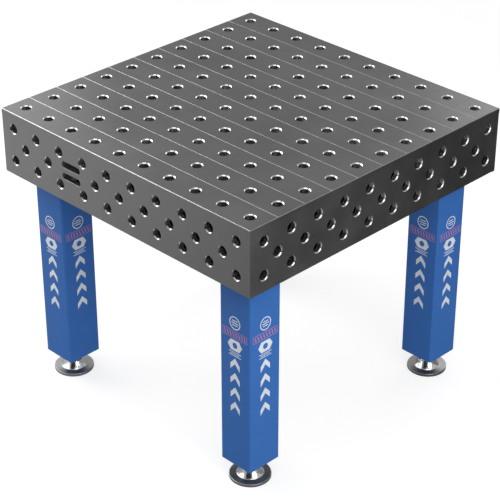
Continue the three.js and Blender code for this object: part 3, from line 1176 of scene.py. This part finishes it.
def unseen_floor(look):
    """Painted shade to the right and behind the table, painted light to its far left."""
    axes = look.node("SeparateXYZ", {"Vector": look.coordinates()})
    to_right = look.math("ADD", axes.outputs["X"], axes.outputs["Y"])
    to_camera = look.math("SUBTRACT", axes.outputs["X"], axes.outputs["Y"])
    shade = look.mix(look.ranged(to_right, *RIGHT_FADE), grey(RIGHT_GREY), grey(MIDDLE_GREY))
    shade = look.mix(look.ranged(to_right, *LEFT_FADE), shade, grey(1.0))
    near = look.mix(look.ranged(to_right, *NEAR_RIGHT_FADE), *(grey(level) for level in NEAR_GREYS))
    shade = look.mix(look.ranged(to_camera, *NEAR_FADE), shade, near)
    return look.node("BsdfDiffuse", {"Color": shade}).outputs["BSDF"]


def build_floor():
    """A floor that the camera sees white and that lights the table unevenly with painted shade and
    light.
    """
    floor = stage_plane("floor", FLOOR_SIZE)
    look = Look("pale_floor")
    floor.data.materials.append(studio_shader(look, seen_floor(look), unseen_floor(look)))
    keep_under_feet(floor)


def build_dark_card():
    """A dark card inside the box's open underside, seen only from above: painted shade that keeps the
    bores dark.
    """
    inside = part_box("side_panel_right")[0].x
    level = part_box("leg_mount_front_left")[0].z - DARK_CARD_DROP
    card = stage_plane("dark_card", 2 * (inside - DARK_CARD_GAP), (0, 0, level))
    look = Look("dark_card")
    dark = look.node("BsdfDiffuse", {"Color": grey(DARK_CARD_GREY)}).outputs["BSDF"]
    clear = look.node("BsdfTransparent").outputs["BSDF"]
    facing = look.node("NewGeometry").outputs["Backfacing"]
    seen = look.node("MixShader", {"Fac": facing})
    look.feed(seen.inputs[1], dark)
    look.feed(seen.inputs[2], clear)
    card.data.materials.append(studio_shader(look, seen.outputs["Shader"], clear))


def add_softbox(name, position, target, size, brightness):
    """A rectangular light that looks as bright as brightness in reflections, whatever its size."""
    light = bpy.data.lights.new(name, "AREA")
    light.shape = "RECTANGLE"
    light.size, light.size_y = size
    light.energy = brightness * math.pi * size[0] * size[1]
    lamp = bpy.data.objects.new(name, light)
    lamp.location = position
    direction = Vector(target) - Vector(position)
    lamp.rotation_euler = direction.to_track_quat("-Z", "Y").to_euler()
    lamp.visible_camera = False
    bpy.context.scene.collection.objects.link(lamp)
    return lamp


def build_camera_card():
    """A dark card behind the camera that only reflections see: the middle of each foot shows it."""
    card = stage_plane("camera_card", 1, CAMERA_CARD_PLACE)
    card.scale = (*CAMERA_CARD_SIZE, 1)
    card.rotation_euler = (-Vector(CAMERA_CARD_PLACE)).to_track_quat("-Z", "Y").to_euler()
    card.visible_camera = False
    card.visible_diffuse = False
    card.visible_shadow = False
    look = Look("camera_card")
    card.data.materials.append(look.set(Base_Color=grey(CAMERA_CARD_GREY), Roughness=1.0))


def light_feet_only(lamp):
    """The strip light reaches nothing but the feet."""
    feet = bpy.data.collections.new("feet")
    for label in LEGS:
        for kind in ("pad", "washer"):
            feet.objects.link(bpy.data.objects[f"level_{kind}_{label}"])
    lamp.light_linking.receiver_collection = feet


def build_lights():
    for softbox in SOFTBOXES:
        add_softbox(*softbox)
    light_feet_only(add_softbox(*FOOT_STRIP))


def build_world():
    """White to the camera, grey to everything else."""
    world = bpy.data.worlds.new("studio")
    world.use_nodes = True
    nodes = world.node_tree.nodes
    path = nodes.new("ShaderNodeLightPath")
    level = nodes.new("ShaderNodeMapRange")
    level.inputs["To Min"].default_value = STUDIO_LEVEL
    level.inputs["To Max"].default_value = 1.0
    world.node_tree.links.new(path.outputs["Is Camera Ray"], level.inputs["Value"])
    world.node_tree.links.new(level.outputs["Result"], nodes["Background"].inputs["Strength"])
    nodes["Background"].inputs["Color"].default_value = grey(1.0)
    bpy.context.scene.world = world


def build_camera():
    camera = bpy.data.cameras.new("camera")
    camera.lens = CAMERA_LENS
    camera.sensor_width = CAMERA_SENSOR
    camera.shift_x, camera.shift_y = CAMERA_SHIFT
    camera.clip_end = CAMERA_REACH
    piece = bpy.data.objects.new("camera", camera)
    level = math.cos(CAMERA_ELEVATION)
    back = Vector((math.sin(CAMERA_AZIMUTH) * level, -math.cos(CAMERA_AZIMUTH) * level, 0))
    back.z = math.sin(CAMERA_ELEVATION)
    piece.location = CAMERA_TARGET + back * CAMERA_DISTANCE
    piece.rotation_euler = (-back).to_track_quat("-Z", "Y").to_euler()
    bpy.context.scene.collection.objects.link(piece)
    bpy.context.scene.camera = piece


build_floor()
build_dark_card()
build_camera_card()
build_lights()
build_world()
build_camera()
bpy.context.scene.view_settings.view_transform = "Standard"
